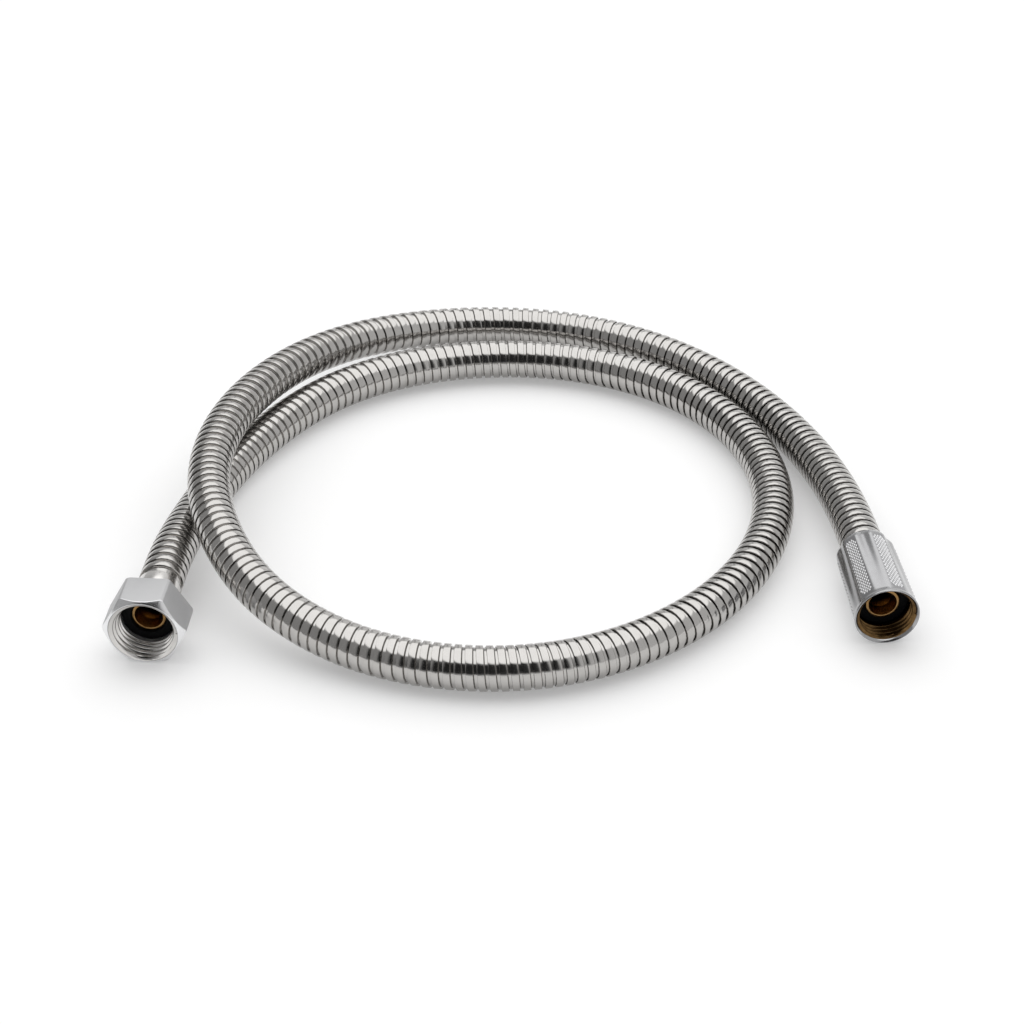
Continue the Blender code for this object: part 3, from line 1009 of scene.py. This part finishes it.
satin = satin_plate()
cut_metal = drawn_steel("cut_thread_metal", hex_end)
hexagon_nut = forge_hex_nut(satin, cut_metal)
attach(hexagon_nut, "hex_nut")
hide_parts("hex_nut")
hexagon_thread = cut_thread(
    "hexagon_thread", hex_end, THREAD_START, HEX_OPENING, HEX_OPENING_DEPTH, cut_metal
)
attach(hexagon_thread, "hex_nut")


# SLEEVE NUT. Bright-plated brass, 40.5 mm long, tightened by hand on to the hand shower. Six
# shallow hollow flutes run along it, and between them lie six panels of fine diamond knurl. Its
# inside, with the G 1/2 thread, is left as bare brass.
SLEEVE_MOUTH_RADIUS = 0.0115
SLEEVE_BACK_RADIUS = 0.0108
SLEEVE_OPENING = 0.0221
SLEEVE_LIP_DEPTH = 0.0009
SLEEVE_HOLE = 0.0085
SLEEVE_BACK_LAND = 0.0003
SLEEVE_SHOULDER = 0.0035
SLEEVE_RIM = 0.0007
FLUTES = 6
FLUTE_TURN = math.radians(18)
FLUTE_HALF = math.radians(18)
FLUTE_DEPTH_FRONT = 0.00025
FLUTE_DEPTH_BACK = 0.00095
FLUTE_FADE = 0.0025
KNURL_PITCH = 0.00110
KNURL_LENGTH = 0.0020
KNURL_HEIGHT = 0.00018
PANEL_START, PANEL_END = 0.0032, 0.0362
PANEL_HALF = math.radians(14.5)
SLEEVE_SEGMENTS = 216
BRIGHT_TONES = (0.34, 0.34, 0.345), (0.41, 0.41, 0.415)
SMOOTH_UNEVENNESS, KNURL_UNEVENNESS = 0.000002, 0.00012
# Painted highlight: the knurled panels use a brighter copy of the smooth plate's colour.
KNURL_HIGHLIGHT_BRIGHTNESS = 1.6
# Painted shade: the brass inside the sleeve nut is a darker copy of the tails' brass.
SHADED_BRASS_BRIGHTNESS = 0.45
KNURL_SINK = 0.00004


def bright_plate(name, unevenness, brightness):
    """Bright chrome plate with faint lines round it, and this unevenness in its surface."""
    material, tree, shader = new_finish(name)
    low, high = (tuple(part * brightness for part in tone) + (1.0,) for tone in BRIGHT_TONES)
    place = axis_place(tree, sleeve_end)
    z = node(tree, "ShaderNodeSeparateXYZ", {}, {"Vector": place}, "Z")
    lines = specks(tree, node(tree, "ShaderNodeCombineXYZ", {}, {"X": z * 7000.0}), 1.0, 3.0)
    cloud = specks(tree, place, 260.0, 4.0)
    dents = specks(tree, place, 1300.0, 2.0)
    dress(
        tree,
        shader,
        {
            "Base Color": blended(tree, cloud, low, high),
            "Metallic": 1.0,
            "Roughness": 0.12 + lines * 0.06 + cloud * 0.05,
            "Normal": bumped(tree, lines * 0.000002 + dents * unevenness, 1.0),
        },
    )
    return material


def smooth_step(value, low, high):
    t = min(1.0, max(0.0, (value - low) / (high - low)))
    return t * t * (3 - 2 * t)


def body_radius(z, cut=0.0):
    """The sleeve's radius where a flute cuts this deep: a lip, a taper and a rounded shoulder."""
    start = SLEEVE_LENGTH - SLEEVE_SHOULDER
    taper = (SLEEVE_BACK_RADIUS - SLEEVE_MOUTH_RADIUS) / start
    step = KNURL_HEIGHT * smooth_step(z, SLEEVE_RIM, 2.5 * SLEEVE_RIM)
    radius = SLEEVE_MOUTH_RADIUS + taper * min(z, start) - step - cut
    rise = min(1.0, max(0.0, z - start) / SLEEVE_SHOULDER)
    end = SLEEVE_HOLE + SLEEVE_BACK_LAND
    return end + (radius - end) * math.sqrt(1 - rise**2)


def sleeve_radius(angle, z):
    """The body's radius with its flutes: shallow waves, deeper at the back, that end at the rim."""
    pitch = 2 * math.pi / FLUTES
    from_flute = (angle - FLUTE_TURN + pitch / 2) % pitch - pitch / 2
    if abs(from_flute) >= FLUTE_HALF:
        return body_radius(z)
    wave = (1 + math.cos(math.pi * from_flute / FLUTE_HALF)) / 2
    depth = FLUTE_DEPTH_FRONT + (FLUTE_DEPTH_BACK - FLUTE_DEPTH_FRONT) * z / SLEEVE_LENGTH
    return body_radius(z, depth * wave * smooth_step(z, SLEEVE_RIM, SLEEVE_RIM + FLUTE_FADE))


def turn_sleeve_nut(plate, brass):
    root = THREAD_MAJOR / 2
    inside = [
        (SLEEVE_HOLE, SLEEVE_LENGTH),
        (SLEEVE_HOLE, WALL_BACK),
        (NECK_HOLE_RADIUS, WALL_BACK),
        (NECK_HOLE_RADIUS, WALL_FACE),
        (SEAT_RADIUS, WALL_FACE),
        (SEAT_RADIUS, SEAT_FACE),
        (root, SEAT_FACE),
    ]
    mouth = [
        (root, SLEEVE_LIP_DEPTH),
        (SLEEVE_OPENING / 2, 0.00005),
        (SLEEVE_OPENING / 2 + 0.0001, 0.0),
        (SLEEVE_MOUTH_RADIUS - 0.0002, 0.0),
        (SLEEVE_MOUTH_RADIUS - 0.00009, 0.00009),
    ]
    rows = list(np.concatenate([
        np.linspace(0.0003, SLEEVE_RIM, 3),
        np.linspace(SLEEVE_RIM + 0.0002, 0.0070, 30),
        np.linspace(0.0074, 0.0322, 32),
        np.linspace(0.0325, SLEEVE_LENGTH - SLEEVE_SHOULDER, 24),
        SLEEVE_LENGTH - SLEEVE_SHOULDER * (1 - np.sin(np.linspace(0.1, math.pi / 2, 12))),
    ]))
    bm = bmesh.new()
    rings = []
    for step in range(SLEEVE_SEGMENTS):
        angle = 2 * math.pi * step / SLEEVE_SEGMENTS
        line = inside + mouth + [(sleeve_radius(angle, z), z) for z in rows]
        rings.append([bm.verts.new((r * math.cos(angle), r * math.sin(angle), z)) for r, z in line])
    for ring, next_ring in zip(rings, rings[1:] + rings[:1]):
        for index in range(len(ring)):
            after = (index + 1) % len(ring)
            face = bm.faces.new((ring[index], next_ring[index], next_ring[after], ring[after]))
            face.material_index = 1 if index < len(inside) else 0
    bmesh.ops.recalc_face_normals(bm, faces=bm.faces)
    mesh = bpy.data.meshes.new("sleeve_body")
    bm.to_mesh(mesh)
    bm.free()
    mesh.transform(sleeve_end)
    mesh.materials.append(plate)
    mesh.materials.append(brass)
    piece = linked("sleeve_body", mesh)
    smooth_but_creased(piece, 32)
    return piece


def knurl_tree():
    """Rows of long flat-topped pyramids on panels that are spread evenly round a cone."""
    tree, given = new_tree(
        "knurl",
        (
            ("Panels", "NodeSocketInt"),
            ("First Panel Angle", "NodeSocketFloat"),
            ("Panel Half Width", "NodeSocketFloat"),
            ("Panel Start", "NodeSocketFloat"),
            ("Panel End", "NodeSocketFloat"),
            ("Start Radius", "NodeSocketFloat"),
            ("End Radius", "NodeSocketFloat"),
            ("Pitch", "NodeSocketFloat"),
            ("Length", "NodeSocketFloat"),
            ("Height", "NodeSocketFloat"),
            ("Material", "NodeSocketMaterial"),
        ),
    )
    pitch, long, half = given["Pitch"], given["Length"], given["Panel Half Width"]
    columns = calc("FLOOR", half * 2.0 / pitch) + 2.0
    rows = calc("FLOOR", (given["Panel End"] - given["Panel Start"]) / long * 2.0) + 1.0
    wide = columns * given["Panels"]
    lattice = node(
        tree,
        "GeometryNodeMeshGrid",
        {},
        {"Size X": wide - 1.0, "Size Y": rows - 1.0, "Vertices X": wide, "Vertices Y": rows},
    )
    position = node(tree, "GeometryNodeInputPosition")
    x = node(tree, "ShaderNodeSeparateXYZ", {}, {"Vector": position}, "X")
    y = node(tree, "ShaderNodeSeparateXYZ", {}, {"Vector": position}, "Y")
    number = calc("ROUND", x + (wide - 1.0) * 0.5)
    row = calc("ROUND", y + (rows - 1.0) * 0.5)
    panel = calc("FLOOR", number / columns + 0.0001)
    column = number - panel * columns
    shifted = column + calc("FLOORED_MODULO", row, 2.0) * 0.5
    across = (shifted - columns * 0.5 + 0.25) * pitch
    station = given["Panel Start"] + row * long * 0.5
    low_end = given["Panel Start"] + half - station
    high_end = station - given["Panel End"] + half
    beyond = calc("MAXIMUM", calc("MAXIMUM", low_end, high_end), 0.0)
    off = (across * across + beyond * beyond) ** 0.5
    share = (station - given["Panel Start"]) / (given["Panel End"] - given["Panel Start"])
    radius = given["Start Radius"] + (given["End Radius"] - given["Start Radius"]) * share
    panel_angle = given["First Panel Angle"] + panel * (2 * math.pi) / given["Panels"]
    angle = panel_angle + across / given["Start Radius"]
    spoke = node(
        tree, "ShaderNodeCombineXYZ", {}, {"X": calc("COSINE", angle), "Y": calc("SINE", angle)}
    )
    lift = node(tree, "ShaderNodeCombineXYZ", {}, {"Z": station})
    kept = node(
        tree,
        "GeometryNodeDeleteGeometry",
        {"domain": "POINT"},
        {"Geometry": lattice, "Selection": calc("GREATER_THAN", off, half - pitch * 0.45)},
    )
    placed = node(
        tree, "GeometryNodeSetPosition", {}, {"Geometry": kept, "Position": spoke * radius + lift}
    )
    pyramid = node(
        tree,
        "GeometryNodeMeshCone",
        {"fill_type": "NGON"},
        {
            "Vertices": 4,
            "Radius Top": pitch * 0.14,
            "Radius Bottom": pitch * 0.5,
            "Depth": given["Height"],
        },
    )
    flat = node(tree, "ShaderNodeCombineXYZ", {}, {"X": 1.0, "Y": 1.0})
    outward = node(tree, "GeometryNodeInputPosition") * flat
    facing = node(
        tree,
        "FunctionNodeAxesToRotation",
        {"primary_axis": "Z", "secondary_axis": "Y"},
        {0: outward, 1: (0.0, 0.0, 1.0)},
    )
    stretch = node(tree, "ShaderNodeCombineXYZ", {}, {"X": 1.0, "Y": long / pitch, "Z": 1.0})
    studs = node(
        tree,
        "GeometryNodeInstanceOnPoints",
        {},
        {"Points": placed, "Instance": pyramid, "Rotation": facing, "Scale": stretch},
    )
    close_tree(tree, studs, given["Material"])
    return tree


bright = bright_plate("bright_plate", SMOOTH_UNEVENNESS, 1.0)
# The knurl's plate is a brighter copy of the smooth one: painted highlight.
knurled = bright_plate("knurled_plate", KNURL_UNEVENNESS, KNURL_HIGHLIGHT_BRIGHTNESS)
# A darker copy of the tails' brass: painted shade inside the nut.
sleeve_brass = turned_brass("turned_brass_nut", sleeve_end, brightness=SHADED_BRASS_BRIGHTNESS)
sleeve_body = turn_sleeve_nut(bright, sleeve_brass)
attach(sleeve_body, "sleeve_nut")
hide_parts("sleeve_nut")
sleeve_thread = cut_thread(
    "sleeve_thread", sleeve_end, SLEEVE_LIP_DEPTH, SLEEVE_OPENING, SLEEVE_LIP_DEPTH, sleeve_brass
)
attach(sleeve_thread, "sleeve_nut")
sleeve_knurl = grown(
    "sleeve_knurl",
    knurl_tree(),
    {
        "Panels": FLUTES,
        "First Panel Angle": FLUTE_TURN + math.pi / FLUTES,
        "Panel Half Width": PANEL_HALF * SLEEVE_MOUTH_RADIUS,
        "Panel Start": PANEL_START,
        "Panel End": PANEL_END,
        "Start Radius": body_radius(PANEL_START) - KNURL_SINK,
        "End Radius": body_radius(PANEL_END) - KNURL_SINK,
        "Pitch": KNURL_PITCH,
        "Length": KNURL_LENGTH,
        "Height": KNURL_HEIGHT,
        "Material": knurled,
    },
)
sleeve_knurl.data.transform(sleeve_end)
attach(sleeve_knurl, "sleeve_nut")


# FLOOR, LIGHT AND CAMERA. A pale floor that runs out of sight, one wide soft light overhead in a
# dim room, and a camera that looks down at the loop from the front.
FLOOR_HALF = 3.0
FLOOR_DROP = 0.0001
FLOOR_TONES = (0.74, 0.74, 0.74, 1.0), (0.75, 0.75, 0.75, 1.0)
FLOOR_GLOW = 0.27
BOX_MIDDLE, BOX_HALF = (0.10, 0.54), (0.85, 1.10)
BOX_LEVEL = 1.65
CAMERA_PLACE = (-0.00035, -0.66515, 0.43952)
CAMERA_TILT = math.radians(56.0)
CAMERA_LENS = 71.458
CAMERA_SENSOR = 36.0


def pale_floor():
    material, tree, shader = new_finish("pale_floor")
    place = node(tree, "ShaderNodeTexCoord", {}, {}, "Object")
    cloud = specks(tree, place, 30.0, 3.0)
    dress(
        tree,
        shader,
        {
            "Base Color": blended(tree, cloud, *FLOOR_TONES),
            "Roughness": 1.0,
            "Specular IOR Level": 0.0,
            "Emission Color": (1.0, 1.0, 1.0, 1.0),
            "Emission Strength": FLOOR_GLOW,
        },
    )
    return material


def studio_world():
    """An overhead softbox in a room that is grey behind and dark towards the camera."""
    world = bpy.data.worlds.new("studio")
    world.use_nodes = True
    tree = world.node_tree
    tree.nodes.clear()
    direction = node(tree, "ShaderNodeTexCoord", {}, {}, "Generated")
    x = node(tree, "ShaderNodeSeparateXYZ", {}, {"Vector": direction}, "X")
    y = node(tree, "ShaderNodeSeparateXYZ", {}, {"Vector": direction}, "Y")
    z = node(tree, "ShaderNodeSeparateXYZ", {}, {"Vector": direction}, "Z")
    height = calc("MAXIMUM", z, 0.02)
    right, back = x / height, y / height
    aside = (right - BOX_MIDDLE[0]) / BOX_HALF[0]
    beyond = (back - BOX_MIDDLE[1]) / BOX_HALF[1]
    from_middle = (aside * aside + beyond * beyond) ** 0.5
    box = 1.0 - eased(tree, from_middle, 0.93, 1.10)
    room = 0.36 + eased(tree, x, -0.3, 0.3) * 0.36 + eased(tree, y, 0.75, 0.95) * 0.30
    off_camera = calc("ABSOLUTE", x) / calc("MAXIMUM", y * -1.0, 0.02)
    dark = (1.0 - eased(tree, off_camera, 0.38, 0.80)) * eased(tree, z, 0.06, 0.14)
    room = room * (1.0 - dark * 0.95)
    mirrored = room + box * (BOX_LEVEL - room)
    overhead = eased(tree, back, -0.6, 0.35) * (1.0 - eased(tree, back, 1.6, 3.2))
    centred = 1.0 - eased(tree, calc("ABSOLUTE", right), 1.1, 2.0)
    spread = 0.30 + overhead * centred * 1.6
    rays = tree.nodes.new("ShaderNodeLightPath")
    shiny = Value(tree, rays.outputs["Is Glossy Ray"])
    seen = Value(tree, rays.outputs["Is Camera Ray"])
    level = spread + shiny * (mirrored - spread)
    level = level + seen * (1.0 - level)
    glow = node(tree, "ShaderNodeBackground", {}, {"Color": (1.0, 1.0, 1.0, 1.0), "Strength": level})
    out = tree.nodes.new("ShaderNodeOutputWorld")
    tree.links.new(glow.socket, out.inputs[0])
    bpy.context.scene.world = world


floor_mesh = bpy.data.meshes.new("floor")
corners = [(-1, -1), (1, -1), (1, 1), (-1, 1)]
floor_mesh.from_pydata(
    [(x * FLOOR_HALF, y * FLOOR_HALF, -FLOOR_DROP) for x, y in corners], [], [(0, 1, 2, 3)]
)
floor_mesh.materials.append(pale_floor())
floor = linked("floor", floor_mesh)
studio_world()

camera_data = bpy.data.cameras.new("camera")
camera_data.lens = CAMERA_LENS
camera_data.sensor_width = CAMERA_SENSOR
camera = linked("camera", camera_data)
camera.location = CAMERA_PLACE
camera.rotation_euler = (CAMERA_TILT, 0.0, 0.0)
bpy.context.scene.camera = camera
bpy.context.scene.view_settings.view_transform = "Standard"
